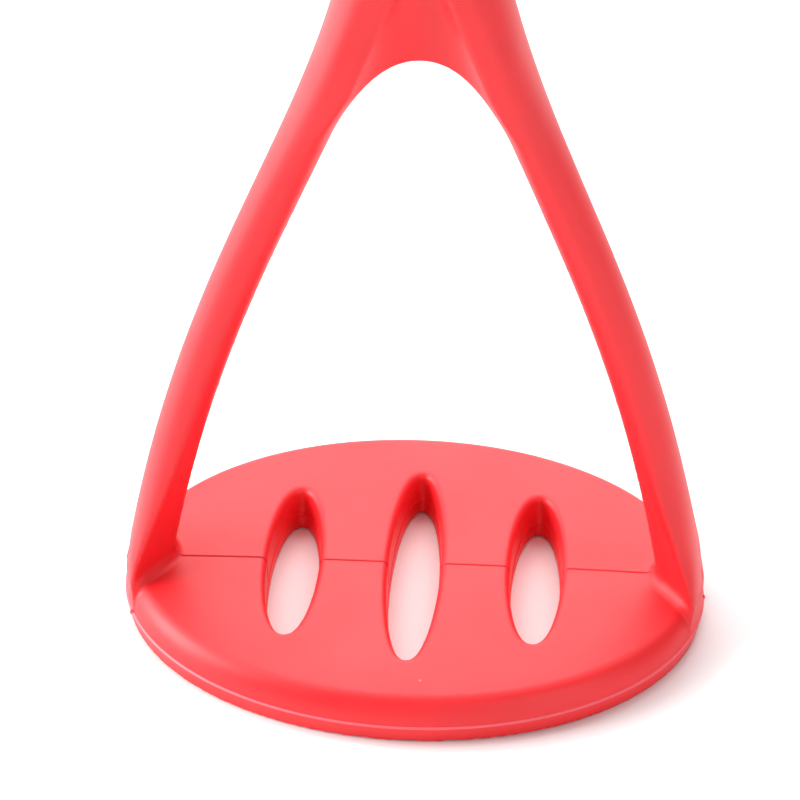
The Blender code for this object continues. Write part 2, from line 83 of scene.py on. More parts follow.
# Slots: the middle one is the longest, and each widens a little towards the top
SLOT_PITCH = 21.0
SLOT_HALF_WIDTH = 4.4
SLOT_HALF_LENGTHS = {-1: 19.7, 0: 25.3, 1: 19.8}
SLOT_DRAFT = 0.035
SLOT_LIP = 1.2
SLOT_LIP_START = 2.0
SLOT_LIP_FULL = 6.0
SLOT_FOOT = 0.4
SLOT_CEILING = 13.0
SLOT_FLASH_PROUD = 0.16
SLOT_FLASH_WIDTH = 0.22

# Legs: the right leg's centreline as a cubic Bezier curve of (x, z), and its section
LEG_CURVE = np.array([(46.8, 0.0), (35.12, 79.19), (7.26, 97.13), (6.25, 150.0)])
LEG_HALF_WIDTH = 3.92
LEG_SHIFT = 0.3
LEG_POWER = 2.05
LEG_FOOT = 4.0

# Feet: blended into the plate, with ends that spread outwards by FOOT_SPREAD times y squared
FOOT_FILLET = 2.4
FOOT_BLEND = 1.2
FOOT_SPREAD = 0.018
FOOT_SPREAD_TOP = 32.0

# Half depth of the legs, yoke and neck in Y against height
DEPTH_HEIGHTS = [0.0, 7.0, 11.0, 18.0, 30.0, 45.0, 65.0, 85.0, 98.0, 110.0, 132.0, 150.0]
DEPTHS = [12.6, 11.0, 9.6, 7.7, 6.1, 5.2, 4.8, 5.0, 6.2, 7.8, 9.2, 10.4]

# Arch between the legs, and the neck above it
ARCH_CURVE = np.array([(0.0, 110.2), (8.48, 110.2), (12.11, 101.0), (15.70, 92.01)])
ARCH_EDGE = 2.2
ARCH_EDGE_START = 95.0
ARCH_EDGE_FULL = 106.0
NECK_START = 113.0
NECK_TOP = 150.0
NECK_RADIUS = 10.4
SPIGOT_RADIUS = 8.9

# Scoop down the front and back of the yoke, which narrows to nothing at SCOOP_TOP
SCOOP_TOP = 136.6
SCOOP_SPREAD = 0.375
SCOOP_WALL = math.radians(58.0)
SCOOP_RIDGE = 0.7
SCOOP_FADE = 7.0

# Head's parting line: a groove with a small step across the plate, and a raised line up the legs
SEAM_DEPTH = 0.15
SEAM_WIDTH = 0.13
SEAM_STEP = 0.04
SEAM_STEP_REACH = 3.0
SEAM_PROUD = 0.03
SEAM_GROOVE_TOP = 10.6
SEAM_GROOVE_FADE = 1.6
SEAM_RAISED_START = 10.0
SEAM_RAISED_FULL = 12.0
SEAM_RAISED_FADE = 10.0
# It stands a little forward of the middle, more so at the left
SEAM_SHIFT = -0.7
SEAM_LEAN = 0.0146

# Two tags of flash left on the rim line, as (x, y)
RIM_TAGS = [(50.0, 0.4), (-48.0, -11.0)]
TAG_RADIUS = 0.4
TAG_HALF_HEIGHT = 0.5
TAG_FILLET = 0.15

# Grip: its radius against the share of its height, with three grooves round its lower end
GRIP_SHARES = [0.0, 0.16, 0.42, 0.78, 1.0]
GRIP_RADII = [11.2, 12.7, 11.7, 13.7, 12.4]
GRIP_FLATNESS = 0.1
GRIP_ROUNDING = 1.5
GRIP_BORE = 8.5
GRIP_BORE_EDGE = 0.3
GRIP_RINGS = [171.0, 173.6, 176.2]
GRIP_RING_DEPTH = 0.45
GRIP_RING_WIDTH = 0.55
GRIP_SEAM = 0.07
GRIP_SEAM_WIDTH = 0.3

# Collar: (radius, share of its height) with a turned groove near each end
COLLAR_BORE = 9.2
COLLAR_CHAMFER = 0.25
COLLAR_PROFILE = [
    (10.3, 0.0),
    (10.55, 0.008),
    (10.78, 0.025),
    (10.9, 0.055),
    (10.95, 0.13),
    (10.74, 0.145),
    (10.74, 0.165),
    (10.98, 0.18),
    (11.14, 0.34),
    (11.2, 0.5),
    (11.14, 0.66),
    (10.98, 0.82),
    (10.74, 0.835),
    (10.74, 0.855),
    (10.95, 0.87),
    (10.9, 0.945),
    (10.78, 0.975),
    (10.55, 0.992),
    (10.3, 1.0),
]
COLLAR_SEGMENTS = 160

# End cap and its hanging eye
CAP_BOTTOM = 266.4
CAP_RADIUS = 12.2
CAP_SKIRT = 3.0
CAP_DOME = 6.0
CAP_POWER = 2.2
CAP_EDGE = 0.6
CAP_SPIGOT_RADIUS = 5.0
CAP_PIN_HEIGHT = 257.0
CAP_PIN_BORE = 1.55
CAP_PIN_EDGE = 0.2
CAP_FILLET = 2.0
EYE_HEIGHT = 280.6
EYE_RADIUS = 9.0
EYE_BORE = 4.6
EYE_HALF_THICKNESS = 2.6
EYE_ROUNDING = 1.0

# Mesh grids: usual spacing, how far the grid runs past the surface, and (centre, reach, spacing) where
# it is finer, round the parting lines, the plate, its bottom edge, the flash line and the grip's rings
HEAD_STEP = 0.62
HEAD_STEP_UP = 0.95
HEAD_MARGIN = 0.9
HEAD_FINE_ALONG = [(0.0, 0.45, 0.09), (-9.6, 0.5, 0.3)]
HEAD_FINE_UP = [(4.5, 4.7, 0.42), (0.25, 0.3, 0.13), (RIM_LINE, 0.35, 0.09)]
GRIP_STEP = 0.7
GRIP_STEP_UP = 0.9
GRIP_MARGIN = 0.9
GRIP_REACH = 15.0
GRIP_FINE_ALONG = [(0.0, 0.5, 0.2)]
GRIP_FINE_UP = [(height, 1.0, 0.22) for height in GRIP_RINGS]
CAP_STEP = 0.5
CAP_STEP_ALONG = 0.6
CAP_MARGIN = 0.8
CAP_FINE_ALONG = [(0.0, EYE_HALF_THICKNESS, 0.4)]


# ---- Field helpers ----


def ramp(value, low, high):
    """0 below low, 1 above high, and smooth between."""
    t = np.clip((value - low) / (high - low), 0.0, 1.0)
    return t * t * (3 - 2 * t)


def smooth_max(a, b, width):
    """The larger of a and b, blended where they differ by less than width."""
    overlap = np.maximum(width - np.abs(a - b), 0.0) / width
    return np.maximum(a, b) + overlap * overlap * width / 4


def round_join(a, b, radius):
    """The union of two fields with a fillet of that radius."""
    reach = np.hypot(np.maximum(radius - a, 0.0), np.maximum(radius - b, 0.0))
    return np.maximum(radius, np.minimum(a, b)) - reach


def round_cut(a, b, radius):
    """Field a with field b taken out of it, and the new edge rounded to that radius."""
    reach = np.hypot(np.maximum(radius + a, 0.0), np.maximum(radius - b, 0.0))
    return np.minimum(-radius, np.maximum(a, -b)) + reach


def oval_distance(x, y, half_x, half_y):
    """Close to the signed distance from an ellipse, and its radius share (0 at the centre, 1 on it)."""
    share = np.hypot(x / half_x, y / half_y)
    slope = np.hypot(x / half_x**2, y / half_y**2)
    return share * (share - 1) / np.maximum(slope, 1e-6), share


def smooth_curve(value, knots, heights):
    """A smooth curve through (knot, height) points, read off a fine blurred table."""
    fine = np.linspace(knots[0], knots[-1], 400)
    table = np.interp(fine, knots, heights)
    kernel = np.hanning(31)
    kernel /= kernel.sum()
    padded = np.pad(table, 15, mode="reflect", reflect_type="odd")
    return np.interp(value, fine, np.convolve(padded, kernel, mode="valid"))


class PlaneTable:
    """A quantity of (|x|, z) kept on a fine grid and read by bilinear interpolation."""

    STEP = 0.25
    X_MAX = 60.0
    Z_MIN = -6.0
    Z_MAX = 166.0

    def __init__(self, quantity):
        self.xs = np.arange(0.0, self.X_MAX + self.STEP, self.STEP)
        self.zs = np.arange(self.Z_MIN, self.Z_MAX + self.STEP, self.STEP)
        x, z = np.meshgrid(self.xs, self.zs, indexing="ij")
        self.values = quantity(x.ravel(), z.ravel()).reshape(x.shape)

    def __call__(self, x, z):
        u = np.clip(np.abs(x) / self.STEP, 0, len(self.xs) - 1.001)
        v = np.clip((z - self.Z_MIN) / self.STEP, 0, len(self.zs) - 1.001)
        i, j = u.astype(np.int32), v.astype(np.int32)
        fu, fv = u - i, v - j
        low = self.values[i, j] * (1 - fv) + self.values[i, j + 1] * fv
        high = self.values[i + 1, j] * (1 - fv) + self.values[i + 1, j + 1] * fv
        return low * (1 - fu) + high * fu


def offset_from(path):
    """A function giving the signed distance from a path of (x, z) points, positive on its right side."""
    tangent = np.gradient(path, axis=0)
    tangent /= np.linalg.norm(tangent, axis=1)[:, None]
    normal = np.stack([tangent[:, 1], -tangent[:, 0]], axis=1)

    def quantity(x, z):
        result = np.empty(len(x))
        for start in range(0, len(x), 20000):
            part = slice(start, start + 20000)
            dx = x[part, None] - path[None, :, 0]
            dz = z[part, None] - path[None, :, 1]
            nearest = np.argmin(dx * dx + dz * dz, axis=1)
            rows = np.arange(len(nearest))
            across = dx[rows, nearest] * normal[nearest, 0] + dz[rows, nearest] * normal[nearest, 1]
            away = np.hypot(dx[rows, nearest], dz[rows, nearest])
            result[part] = np.where(np.abs(across) > 0.6 * away, across, np.copysign(away, across))
        return result

    return quantity


def bezier(corners, count):
    """Points along the cubic Bezier curve with those four corners."""
    t = np.linspace(0, 1, count)[:, None]
    a, b, c, d = corners
    return a * (1 - t) ** 3 + 3 * b * (1 - t) ** 2 * t + 3 * c * (1 - t) * t**2 + d * t**3


def leg_path():
    """The right leg's centreline, run on straight below the floor and up through the neck."""
    down = LEG_CURVE[0] - LEG_CURVE[1]
    down /= np.linalg.norm(down)
    below = LEG_CURVE[0] + down * np.linspace(10, 0.2, 50)[:, None]
    above = LEG_CURVE[3] + np.array([0.0, 1.0]) * np.linspace(0.2, 18, 90)[:, None]
    return np.vstack([below, bezier(LEG_CURVE, 900), above])


def inner_path():
    """The opening's outline from the arch's crown down along the right leg's inner edge."""
    leg = leg_path()
    tangent = np.gradient(leg, axis=0)
    tangent /= np.linalg.norm(tangent, axis=1)[:, None]
    outward = np.stack([tangent[:, 1], -tangent[:, 0]], axis=1)
    edge = leg + outward * (LEG_SHIFT - LEG_HALF_WIDTH)
    edge = edge[edge[:, 1] < ARCH_CURVE[3][1] - 0.1][::-1]
    arch = bezier(ARCH_CURVE, 300)
    crown = arch[0] + np.array([-1.0, 0.0]) * np.linspace(4, 0.1, 60)[:, None]
    return np.vstack([crown, arch, edge])


# ---- The head's field ----

LEG_OFFSET = PlaneTable(offset_from(leg_path()))
OPENING_OFFSET = PlaneTable(offset_from(inner_path()))


def superoval(across, along, width, depth, power):
    """Close to the signed distance from a superellipse of that half width, half depth and power."""
    across = across / width
    along = along / depth
    total = across**power + along**power
    share = np.maximum(total, 1e-4) ** (1 / power)
    slope = np.hypot(across ** (power - 1) / width, along ** (power - 1) / depth) * share ** (1 - power)
    return (share - 1) / np.maximum(slope, 0.05)


def wall_inset(z):
    """How far the rim's wall stands in from the outline: undercut below the flash line, a ledge above."""
    undercut = RIM_UNDERCUT * np.clip(1 - z / RIM_LINE, 0, 1)
    return undercut + RIM_LEDGE * np.clip((z - RIM_LINE) / RIM_LEDGE_RISE, 0, 1)


def plate_field(z, edge, share):
    """The oval plate: a domed top, a rounded shoulder, the flash line's ledge and the undercut wall."""
    dome = PLATE_DOME * np.maximum(1 - share**4, 0.0)
    lifted = z - dome * ramp(z, RIM_LINE, PLATE_HEIGHT)
    shoulder = superoval(
        np.maximum(edge + RIM_LEDGE + RIM_SHOULDER, 0.0),
        np.maximum(lifted - RIM_LINE, 0.0),
        RIM_SHOULDER,
        PLATE_HEIGHT - RIM_LINE,
        RIM_POWER,
    )
    base = smooth_max(edge + wall_inset(z), -z, BASE_ROUNDING * 2)
    ledge = np.maximum(base, z - RIM_LINE - RIM_LEDGE_RISE)
    upper = np.where(z > RIM_LINE, shoulder, edge + RIM_LEDGE)
    return np.minimum(np.maximum(upper, -z), ledge)


def body_field(x, y, z, depth):
    """The legs, arch, yoke and neck: one outline in XZ, rounded towards its edges, as deep as DEPTHS.

    The feet's front and back ends stand further out than their middles, as the plate's rim needs.
    """
    spread = FOOT_SPREAD * y * y * ramp(FOOT_SPREAD_TOP - z, 0.0, FOOT_SPREAD_TOP - PLATE_HEIGHT)
    x = np.maximum(np.abs(x) - spread, 0.0)
    leg = LEG_OFFSET(x, z) - LEG_SHIFT
    edge_scale = 1 + (LEG_HALF_WIDTH / ARCH_EDGE - 1) * ramp(z, ARCH_EDGE_START, ARCH_EDGE_FULL)
    within = np.minimum(LEG_HALF_WIDTH - leg, -OPENING_OFFSET(x, z) * edge_scale)
    to_neck = ramp(z, NECK_START, NECK_TOP)
    width = LEG_HALF_WIDTH + (NECK_RADIUS - LEG_HALF_WIDTH) * to_neck
    power = LEG_POWER + (2 - LEG_POWER) * to_neck
    return superoval(np.maximum(width - within, 0.0), np.abs(y), width, depth, power)


def scoop_field(x, y, z, depth):
    """The trough between the legs: an arc across, as wide as the gap between its two ridges."""
    half_width = SCOOP_SPREAD * np.maximum(SCOOP_TOP - z, 0.0)
    radius = half_width / math.sin(SCOOP_WALL)
    centre = depth + radius * math.cos(SCOOP_WALL)
    return np.hypot(x, np.abs(y) - centre) - radius + ramp(z, SCOOP_TOP - SCOOP_FADE, SCOOP_TOP)


def seam_line(x):
    """The parting line's y on the head."""
    return SEAM_SHIFT + SEAM_LEAN * x


def slot_field(x, y, z):
    """The three slots, drafted, with flash standing into them at the rim line's height."""
    field = np.full(np.broadcast(x, y, z).shape, 1e3)
    for place, half_length in SLOT_HALF_LENGTHS.items():
        across = x - place * SLOT_PITCH
        along = y - seam_line(place * SLOT_PITCH)
        wall = oval_distance(across, along, SLOT_HALF_WIDTH, half_length)[0]
        field = np.minimum(field, wall)
    flash = SLOT_FLASH_PROUD * np.exp(-(((z - RIM_LINE) / SLOT_FLASH_WIDTH) ** 2))
    return np.maximum(field - SLOT_DRAFT * (z - PLATE_HEIGHT / 2) + flash, z - SLOT_CEILING)


def add_parting_line(field, x, y, z):
    """The field with the parting line: a groove and step on the plate, a raised line on the legs."""
    beside = y - seam_line(x)
    above_rim = ramp(z, RIM_LINE, RIM_LINE + 1.0)
    groove = np.exp(-((beside / SEAM_WIDTH) ** 2)) * above_rim
    step = np.clip(beside / SEAM_WIDTH, -1.0, 1.0) * np.exp(-np.abs(beside) / SEAM_STEP_REACH)
    on_plate = ramp(SEAM_GROOVE_TOP - z, 0.0, SEAM_GROOVE_FADE)
    on_legs = ramp(z, SEAM_RAISED_START, SEAM_RAISED_FULL) * ramp(NECK_TOP - z, 0.0, SEAM_RAISED_FADE)
    field = field + groove * (SEAM_DEPTH * on_plate - SEAM_PROUD * on_legs)
    return field - SEAM_STEP * step * on_plate * above_rim


def head_field(x, y, z):
    """The whole head: plate and legs joined, slots cut, parting line, tags and the collar's spigot."""
    edge, share = oval_distance(x, y, HALF_LENGTH, HALF_WIDTH)
    depth = smooth_curve(z, DEPTH_HEIGHTS, DEPTHS)
    plate = plate_field(z, edge, share)
    body = body_field(x, y, z, depth)
    ridge = SCOOP_RIDGE * ramp(SCOOP_TOP - z, 0.0, SCOOP_FADE) + 0.05
    body = round_cut(body, scoop_field(x, y, z, depth), ridge)
    body = np.maximum(body, LEG_FOOT - z)
    wall = edge + wall_inset(z)
    field = np.maximum(round_join(plate, smooth_max(body, wall, FOOT_BLEND), FOOT_FILLET), wall)
    lip = SLOT_FOOT + (SLOT_LIP - SLOT_FOOT) * ramp(z, SLOT_LIP_START, SLOT_LIP_FULL)
    field = round_cut(field, slot_field(x, y, z), lip)
    field = add_parting_line(field, x, y, z)
    for tag_x, tag_y in RIM_TAGS:
        level = np.hypot((x - tag_x) / TAG_RADIUS, (y - tag_y) / TAG_RADIUS)
        tag = (np.hypot(level, (z - RIM_LINE) / TAG_HALF_HEIGHT) - 1) * TAG_RADIUS
        field = round_join(field, tag, TAG_FILLET)
    spigot = np.hypot(x, y) - SPIGOT_RADIUS
    return np.maximum(np.where(z > NECK_TOP, spigot, field), z - HEAD_HIGH[2])


# ---- The grip's and the end cap's fields ----


def round_meet(a, b, radius):
    """Where both fields are inside, with the edge between them rounded to that radius."""
    return -round_join(-a, -b, radius)


def grip_field(x, y, z):
    """The grip: a waisted oval tube with grooves round its lower end, rounded ends and a round bore."""
    share = np.clip((z - GRIP_LOW[2]) / (GRIP_HIGH[2] - GRIP_LOW[2]), 0, 1)
    radius = smooth_curve(share, GRIP_SHARES, GRIP_RADII)
    flatness = GRIP_FLATNESS * ramp(share, 0.0, 0.3) * ramp(1 - share, 0.0, 0.2)
    side = oval_distance(x, y, radius, radius * (1 - flatness))[0]
    for height in GRIP_RINGS:
        side = side + GRIP_RING_DEPTH * np.exp(-(((z - height) / GRIP_RING_WIDTH) ** 2))
    side = side - GRIP_SEAM * np.exp(-((y / GRIP_SEAM_WIDTH) ** 2))
    ends = np.maximum(GRIP_LOW[2] - z, z - GRIP_HIGH[2])
    tube = round_meet(side, ends, GRIP_ROUNDING)
    return round_cut(tube, np.hypot(x, y) - GRIP_BORE, GRIP_BORE_EDGE)


def cap_field(x, y, z):
    """The end cap: a domed disc, a flat lug with the hanging eye, and a spigot bored for the pin."""
    around = np.hypot(x, y)
    rise = np.maximum(z - CAP_BOTTOM - CAP_SKIRT, 0.0)
    dome = superoval(around, rise, CAP_RADIUS, CAP_DOME, CAP_POWER)
    cap = round_meet(dome, CAP_BOTTOM - z, CAP_EDGE)
    face = np.abs(y) - EYE_HALF_THICKNESS
    lug = round_meet(np.hypot(x, z - EYE_HEIGHT) - EYE_RADIUS, face, EYE_ROUNDING)
    cap = round_join(cap, np.maximum(lug, CAP_BOTTOM + CAP_SKIRT - z), CAP_FILLET)
    spigot = round_meet(around - CAP_SPIGOT_RADIUS, CAP_LOW[2] - z, CAP_EDGE)
    cap = np.minimum(cap, np.maximum(spigot, z - CAP_BOTTOM - 1.0))
    cap = round_cut(cap, np.hypot(x, z - EYE_HEIGHT) - EYE_BORE, EYE_ROUNDING)
    return round_cut(cap, np.hypot(y, z - CAP_PIN_HEIGHT) - CAP_PIN_BORE, CAP_PIN_EDGE)


# ---- Surface-net mesher ----


def spaced(low, high, step, fine=()):
    """Grid lines from low to high at step, closer together round each (centre, reach, fine step)."""
    lines = [low]
    while lines[-1] < high:
        here = lines[-1]
        local = step
        for centre, reach, small in fine:
            gap = max(abs(here + local / 2 - centre) - reach, 0.0)
            local = min(local, small + gap * 0.25)
        lines.append(here + local)
    return np.array(lines)


def net(values, axes):
    """Points and quads of a grid's zero surface: one point in each cell that the surface crosses."""
    inside = values < 0
    shape = np.array(values.shape)
    cells, points, flips = [], [], []
    for a in range(3):
        b, c = (a + 1) % 3, (a + 2) % 3
        start = [slice(None)] * 3
        end = [slice(None)] * 3
        start[a], end[a] = slice(None, -1), slice(1, None)
        i = np.nonzero(inside[tuple(start)] != inside[tuple(end)])
        here = np.stack(i, axis=1)
        there = here.copy()
        there[:, a] += 1
        v0, v1 = values[tuple(here.T)], values[tuple(there.T)]
        share = v0 / (v0 - v1)
        point = np.stack([axes[k][here[:, k]] for k in range(3)], axis=1)
        point[:, a] += share * (axes[a][there[:, a]] - axes[a][here[:, a]])
        ring = []
        for db, dc in ((-1, -1), (0, -1), (0, 0), (-1, 0)):
            cell = here.copy()
            cell[:, b] += db
            cell[:, c] += dc
            ring.append(np.ravel_multi_index(cell.T, shape))
        cells.append(np.stack(ring, axis=1))
        points.append(point)
        flips.append(v0 > 0)
    cells, points, flips = np.concatenate(cells), np.concatenate(points), np.concatenate(flips)
    _, index = np.unique(cells.ravel(), return_inverse=True)
    index = index.reshape(-1)
    count = np.bincount(index)
    spread = np.repeat(points, 4, axis=0)
    verts = np.stack([np.bincount(index, weights=spread[:, k]) / count for k in range(3)], axis=1)
    quads = index.reshape(-1, 4)
    quads[flips] = quads[flips, ::-1]
    return verts, quads


def slopes(field, points, reach=0.02):
    """The field's gradient at each point."""
    columns = []
    for k in range(3):
        shift = np.zeros(3)
        shift[k] = reach
        ahead, behind = points + shift, points - shift
        columns.append((field(*ahead.T) - field(*behind.T)) / (2 * reach))
    return np.stack(columns, axis=1)


def mesh_field(name, field, axes, lean=np.zeros_like):
    """A mesh object of a field's zero surface, its points settled onto it and its normals read from it.

    The grid's y lines are moved by lean(x), so that they can run along a slanted feature.
    """
    x, y, z = np.meshgrid(*axes, indexing="ij")
    values = field(x, y + lean(x), z)
    points, quads = net(values, axes)
    points[:, 1] += lean(points[:, 0])
    for _ in range(3):
        slope = slopes(field, points)
        step = field(*points.T) / np.maximum((slope**2).sum(axis=1), 0.05)
        points = points - slope * np.clip(step, -0.3, 0.3)[:, None]
    normals = slopes(field, points)
    normals /= np.maximum(np.linalg.norm(normals, axis=1), 1e-6)[:, None]
    return mesh_object(name, points, quads, normals)


def mesh_object(name, points, faces, normals=None):
    mesh = bpy.data.meshes.new(name)
    mesh.from_pydata((points * MM).tolist(), [], faces.tolist())
    mesh.validate()
    mesh.shade_smooth()
    if normals is not None:
        mesh.normals_split_custom_set_from_vertices(normals.tolist())
    obj = bpy.data.objects.new(name, mesh)
    bpy.context.scene.collection.objects.link(obj)
    return obj


def build_head():
    axes = (
        spaced(-HALF_LENGTH - HEAD_MARGIN, HALF_LENGTH + HEAD_MARGIN, HEAD_STEP),
        spaced(-HALF_WIDTH - HEAD_MARGIN, HALF_WIDTH + HEAD_MARGIN + 1.0, HEAD_STEP, HEAD_FINE_ALONG),
        spaced(-HEAD_MARGIN, HEAD_HIGH[2] + HEAD_MARGIN, HEAD_STEP_UP, HEAD_FINE_UP),
    )
    return mesh_field("head_skin", head_field, axes, seam_line)


def build_grip():
    axes = (
        spaced(-GRIP_REACH, GRIP_REACH, GRIP_STEP),
        spaced(-GRIP_REACH, GRIP_REACH, GRIP_STEP, GRIP_FINE_ALONG),
        spaced(GRIP_LOW[2] - GRIP_MARGIN, GRIP_HIGH[2] + GRIP_MARGIN, GRIP_STEP_UP, GRIP_FINE_UP),
    )
    return mesh_field("grip_skin", grip_field, axes)


def build_cap():
    reach = CAP_RADIUS + CAP_MARGIN
    axes = (
        spaced(-reach, reach, CAP_STEP),
        spaced(-reach, reach, CAP_STEP_ALONG, CAP_FINE_ALONG),
        spaced(CAP_LOW[2] - CAP_MARGIN, CAP_HIGH[2] + CAP_MARGIN, CAP_STEP),
    )
    return mesh_field("cap_and_eye", cap_field, axes)


def build_collar():
    """The collar: its profile turned round Z, with a chamfered bore."""
    low, high = COLLAR_LOW[2], COLLAR_HIGH[2]
    outer = [(radius, low + (high - low) * share) for radius, share in COLLAR_PROFILE]
    bore_low = [(COLLAR_BORE, low + COLLAR_CHAMFER), (COLLAR_BORE + COLLAR_CHAMFER, low)]
    bore_high = [(COLLAR_BORE + COLLAR_CHAMFER, high), (COLLAR_BORE, high - COLLAR_CHAMFER)]
    profile = np.array([*bore_low, *outer, *bore_high])
    turn = np.linspace(0, 2 * math.pi, COLLAR_SEGMENTS, endpoint=False)
    radius = profile[:, 0][:, None]
    height = np.repeat(profile[:, 1][:, None], COLLAR_SEGMENTS, axis=1)
    points = np.stack([radius * np.cos(turn), radius * np.sin(turn), height], axis=2).reshape(-1, 3)
    ring, step = np.meshgrid(np.arange(len(profile)), np.arange(COLLAR_SEGMENTS), indexing="ij")
    after, beside = (ring + 1) % len(profile), (step + 1) % COLLAR_SEGMENTS
    rows = [ring * COLLAR_SEGMENTS + step, ring * COLLAR_SEGMENTS + beside]
    rows += [after * COLLAR_SEGMENTS + beside, after * COLLAR_SEGMENTS + step]
    collar = mesh_object("steel_collar", points, np.stack(rows, axis=2).reshape(-1, 4))
    collar.data.set_sharp_from_angle(angle=math.radians(35))
    return collar


# ---- Materials: all coordinates are the object's own, in metres ----

RED = (0.86, 0.014, 0.021)
DUST_COLOUR = (0.95, 0.42, 0.42, 1)
# Painted shade for the parting line's groove
SEAM_SHADE_COLOUR = (0.28, 0.004, 0.008, 1)
# Painted highlight along the rim's flash line
FLASH_HIGHLIGHT_COLOUR = (1.0, 0.16, 0.2, 1)
FLASH_HEIGHT_M = (RIM_LINE + RIM_LEDGE_RISE / 2) * MM
# Brings the plate's outline to a radius of 1
OUTLINE_SCALE = (1 / (HALF_LENGTH * MM), 1 / (HALF_WIDTH * MM), 0)


def new_material(name):
    made = bpy.data.materials.new(name)
    made.use_nodes = True
    tree = made.node_tree
    return made, tree, tree.nodes["Principled BSDF"]


def node(tree, kind, inputs=(), **settings):
    made = tree.nodes.new(kind)
    for name, value in settings.items():
        setattr(made, name, value)
    for name, value in dict(inputs).items():
        if isinstance(value, bpy.types.NodeSocket):
            tree.links.new(value, made.inputs[name])
        else:
            made.inputs[name].default_value = value
    return made


def place(tree, stretch=(1, 1, 1)):
    """The object's own coordinates, stretched."""
    coordinates = node(tree, "ShaderNodeTexCoord").outputs["Object"]
    return node(tree, "ShaderNodeMapping", {"Vector": coordinates, "Scale": stretch}).outputs["Vector"]


def noise(tree, scale, detail=3.0, stretch=(1, 1, 1)):
    inputs = {"Vector": place(tree, stretch), "Scale": scale, "Detail": detail}
    return node(tree, "ShaderNodeTexNoise", inputs).outputs["Fac"]


def remap(tree, value, from_low, from_high, to_low, to_high):
    inputs = {
        "Value": value,
        "From Min": from_low,
        "From Max": from_high,
        "To Min": to_low,
        "To Max": to_high,
    }
    return node(tree, "ShaderNodeMapRange", inputs).outputs["Result"]


def math_node(tree, operation, *values):
    made = node(tree, "ShaderNodeMath", operation=operation)
    for socket, value in zip(made.inputs, values):
        if isinstance(value, bpy.types.NodeSocket):
            tree.links.new(value, socket)
        else:
            socket.default_value = value
    return made.outputs["Value"]


def mix(tree, share, low, high):
    made = node(tree, "ShaderNodeMix", data_type="RGBA")
    for name, value in (("Factor", share), ("A", low), ("B", high)):
        socket = [s for s in made.inputs if s.name == name and s.enabled][0]
        if isinstance(value, bpy.types.NodeSocket):
            tree.links.new(value, socket)
        else:
            socket.default_value = value
    return [s for s in made.outputs if s.enabled][0]


def bump(tree, shader, height, distance, strength=1.0):
    inputs = {"Height": height, "Distance": distance, "Strength": strength}
    made = node(tree, "ShaderNodeBump", inputs)
    tree.links.new(made.outputs["Normal"], shader.inputs["Normal"])


def paint_parting_line_shade(tree, tint, seam_shade):
    """The tint with painted shade along the head's parting-line groove, up to the top of the plate."""
    axes = node(tree, "ShaderNodeSeparateXYZ", {"Vector": place(tree)})
    line = math_node(tree, "MULTIPLY_ADD", axes.outputs["X"], SEAM_LEAN, SEAM_SHIFT * MM)
    beside = math_node(tree, "ABSOLUTE", math_node(tree, "SUBTRACT", axes.outputs["Y"], line))
    near = remap(tree, beside, 0.00005, 0.00019, seam_shade, 0.0)
    low = remap(tree, axes.outputs["Z"], 0.0095, 0.0108, 1.0, 0.0)
    return mix(tree, math_node(tree, "MULTIPLY", near, low), tint, SEAM_SHADE_COLOUR)


def paint_flash_line_highlight(tree, tint):
    """The tint, lighter along the thin flash on the rim: a painted highlight where the flash line catches
    the light.
    """
    axes = node(tree, "ShaderNodeSeparateXYZ", {"Vector": place(tree)})
    level = math_node(tree, "SUBTRACT", axes.outputs["Z"], FLASH_HEIGHT_M)
    flash = remap(tree, math_node(tree, "ABSOLUTE", level), 0.00012, 0.0002, 0.85, 0.0)
    outline = place(tree, OUTLINE_SCALE)
    outer = node(tree, "ShaderNodeVectorMath", {"Vector": outline}, operation="LENGTH")
    on_rim = remap(tree, outer.outputs["Value"], 0.97, 0.98, 0.0, 1.0)
    return mix(tree, math_node(tree, "MULTIPLY", flash, on_rim), tint, FLASH_HIGHLIGHT_COLOUR)


def silicone(name, colour, roughness, seam_shade=0.0):
    """Moulded silicone: cloudy tint, uneven gloss, fine orange-peel skin and dust specks.

    With seam_shade over 0 it is the head's, with painted shade in the parting line and a painted
    highlight along the flash line.
    """
    made, tree, shader = new_material(name)
    cloud = noise(tree, 45.0, 4.0)
    darker = tuple(channel * 0.93 for channel in colour)
    tint = mix(tree, remap(tree, cloud, 0.35, 0.65, 0.0, 1.0), (*darker, 1), (*colour, 1))
    dust = node(tree, "ShaderNodeTexVoronoi", {"Vector": place(tree), "Scale": 160.0})
    speck = remap(tree, dust.outputs["Distance"], 0.035, 0.06, 1.0, 0.0)
    chosen = remap(tree, noise(tree, 90.0, 1.0), 0.66, 0.70, 0.0, 0.35)
    speck = math_node(tree, "MULTIPLY", speck, chosen)
    tint = mix(tree, speck, tint, DUST_COLOUR)
    if seam_shade:
        # Painted shade in the parting line's groove
        tint = paint_parting_line_shade(tree, tint, seam_shade)
        # Painted highlight along the rim's flash line
        tint = paint_flash_line_highlight(tree, tint)
    tree.links.new(tint, shader.inputs["Base Color"])
    gloss = remap(tree, noise(tree, 70.0, 5.0), 0.3, 0.7, roughness - 0.035, roughness + 0.035)
    tree.links.new(gloss, shader.inputs["Roughness"])
    waves = math_node(tree, "MULTIPLY", noise(tree, 500.0, 2.0), 1.5)
    skin = math_node(tree, "ADD", noise(tree, 2600.0, 2.0), waves)
    bump(tree, shader, skin, 0.000012)
    shader.inputs["IOR"].default_value = 1.45
    shader.inputs["Specular IOR Level"].default_value = 0.6
    return made


